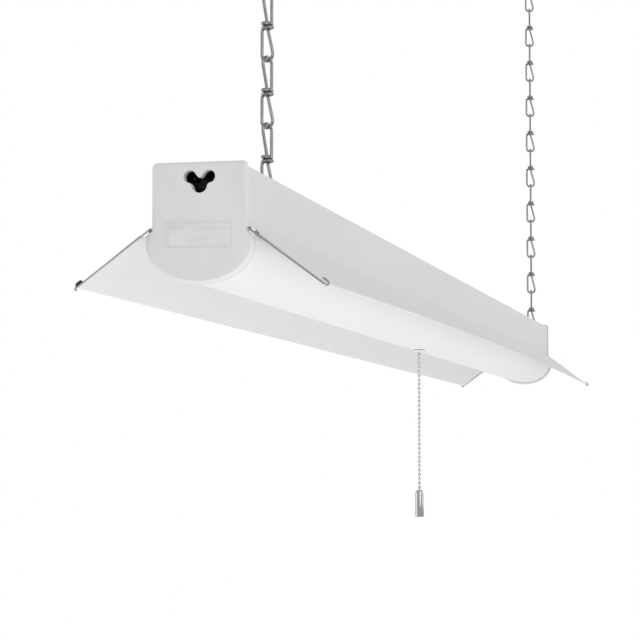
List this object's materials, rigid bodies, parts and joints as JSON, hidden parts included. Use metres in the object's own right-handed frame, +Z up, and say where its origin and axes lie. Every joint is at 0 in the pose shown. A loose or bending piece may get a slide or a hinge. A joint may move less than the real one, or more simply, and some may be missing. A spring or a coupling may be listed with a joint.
{
  "type": "hanging led strip batten",
  "caption": "Linear LED batten: white channel housing, round-bottomed frosted lens, end caps, folding reflector wings, pull-chain switch, hung on two double-loop chains.",
  "frame": {"origin": "ceiling plane, midway along the batten between the two ceiling hooks, above the batten's long axis", "axes": "+X along the batten away from the power inlet, +Y to the back, +Z up"},
  "size_m": [1.2222, 0.1318, 0.5741],
  "materials": {
    "hook_zinc": "bright zinc plate",
    "plate_zinc": "bright zinc plate",
    "housing_white": "satin white powder coat",
    "tray_white": "white powder coat",
    "lens_frosted": "frosted white polycarbonate",
    "grommet_white": "moulded nylon",
    "driver_case": "plain sheet",
    "switch_black": "moulded phenolic",
    "nut_zinc": "zinc plate",
    "lead_black": "PVC insulation",
    "lead_white": "PVC insulation",
    "hanger_zinc": "zinc plate",
    "board_white": "white solder mask",
    "cap_white": "fine moulded texture",
    "screw_zinc": "zinc plate",
    "connector_black": "moulded",
    "pin_brass": "plain",
    "wing_white": "satin white powder coat",
    "brace_steel": "drawn spring wire",
    "sleeve_rubber": "black",
    "bead_nickel": "nickel plate",
    "pendant_chrome": "polished",
    "chain_zinc": "bright zinc plate"
  },
  "bodies": {
    "ceiling": {"ceiling_hook_left": "hook_zinc", "ceiling_hook_right": "hook_zinc", "ceiling_plate_left": "plate_zinc", "ceiling_plate_right": "plate_zinc"},
    "top_links": {"chain_left_link_10": "chain_zinc", "chain_right_link_10": "chain_zinc"},
    "chain_left": {"chain_left_link_01": "chain_zinc", "chain_left_link_02": "chain_zinc", "chain_left_link_03": "chain_zinc", "chain_left_link_04": "chain_zinc", "chain_left_link_05": "chain_zinc", "chain_left_link_06": "chain_zinc", "chain_left_link_07": "chain_zinc", "chain_left_link_08": "chain_zinc", "chain_left_link_09": "chain_zinc"},
    "fixture": {"housing_channel": "housing_white", "gear_tray": "tray_white", "lens_diffuser": "lens_frosted", "lens_grommet": "grommet_white", "led_driver": "driver_case", "pull_switch": "switch_black", "switch_nut": "nut_zinc", "lead_line": "lead_black", "lead_neutral": "lead_white", "lead_switched": "lead_black", "hanger_left": "hanger_zinc", "hanger_right": "hanger_zinc", "led_board_left": "board_white", "led_board_right": "board_white", "end_cap_left": "cap_white", "end_cap_right": "cap_white", "cap_screw_left": "screw_zinc", "cap_screw_right": "screw_zinc", "power_inlet": "connector_black", "link_outlet": "connector_black", "inlet_pin_front": "pin_brass", "inlet_pin_back": "pin_brass", "inlet_pin_low": "pin_brass"},
    "chain_right": {"chain_right_link_01": "chain_zinc", "chain_right_link_02": "chain_zinc", "chain_right_link_03": "chain_zinc", "chain_right_link_04": "chain_zinc", "chain_right_link_05": "chain_zinc", "chain_right_link_06": "chain_zinc", "chain_right_link_07": "chain_zinc", "chain_right_link_08": "chain_zinc", "chain_right_link_09": "chain_zinc"},
    "wing_front": {"wing_front": "wing_white", "wing_brace_front_left": "brace_steel", "wing_brace_front_right": "brace_steel"},
    "wing_back": {"wing_back": "wing_white", "wing_brace_back_left": "brace_steel", "wing_brace_back_right": "brace_steel", "brace_sleeve": "sleeve_rubber"},
    "pull_upper": {"pull_chain_upper": "bead_nickel"},
    "pull_neck": {"pull_chain_neck": "bead_nickel"},
    "pull_lower": {"pull_chain_lower": "bead_nickel", "pull_pendant": "pendant_chrome"}
  },
  "joints": [
    {"name": "side_swing", "type": "hinge", "parent": "ceiling", "child": "top_links", "pos_m": [0, -0.0165, -0.04025], "axis": [1, 0, 0], "range_deg": [-20, 20]},
    {"name": "sway_chain_left", "type": "hinge", "parent": "top_links", "child": "chain_left", "pos_m": [-0.5375, -0.0165, -0.07575], "axis": [0, 1, 0], "range_deg": [-15, 15]},
    {"name": "lengthwise_sway", "type": "hinge", "parent": "chain_left", "child": "fixture", "pos_m": [-0.5375, -0.0165, -0.39525], "axis": [0, 1, 0], "range_deg": [-15, 15]},
    {"name": "sway_chain_right", "type": "hinge", "parent": "fixture", "child": "chain_right", "pos_m": [0.5375, -0.0165, -0.39525], "axis": [0, 1, 0], "range_deg": [-15, 15]},
    {"name": "wing_front_fold", "type": "hinge", "parent": "fixture", "child": "wing_front", "pos_m": [0, -0.0255, -0.422], "axis": [-1, 0, 0], "range_deg": [-10, 115]},
    {"name": "wing_back_fold", "type": "hinge", "parent": "fixture", "child": "wing_back", "pos_m": [0, 0.0255, -0.422], "axis": [1, 0, 0], "range_deg": [-10, 115]},
    {"name": "switch_pull", "type": "slide", "parent": "fixture", "child": "pull_upper", "axis": [0, 0, -1], "range_m": [0, 0.007], "stiffness_N_per_m": 600, "springref_m": -0.004},
    {"name": "pull_swing_side", "type": "hinge", "parent": "pull_upper", "child": "pull_neck", "pos_m": [0, 0, -0.4511], "axis": [1, 0, 0], "range_deg": [-35, 35]},
    {"name": "pull_swing_long", "type": "hinge", "parent": "pull_neck", "child": "pull_lower", "pos_m": [0, 0, -0.4511], "axis": [0, 1, 0], "range_deg": [-35, 35]}
  ],
  "couplings": [
    {"joint": "sway_chain_left", "follows": "lengthwise_sway", "ratio": -1},
    {"joint": "sway_chain_right", "follows": "lengthwise_sway", "ratio": -1}
  ]
}
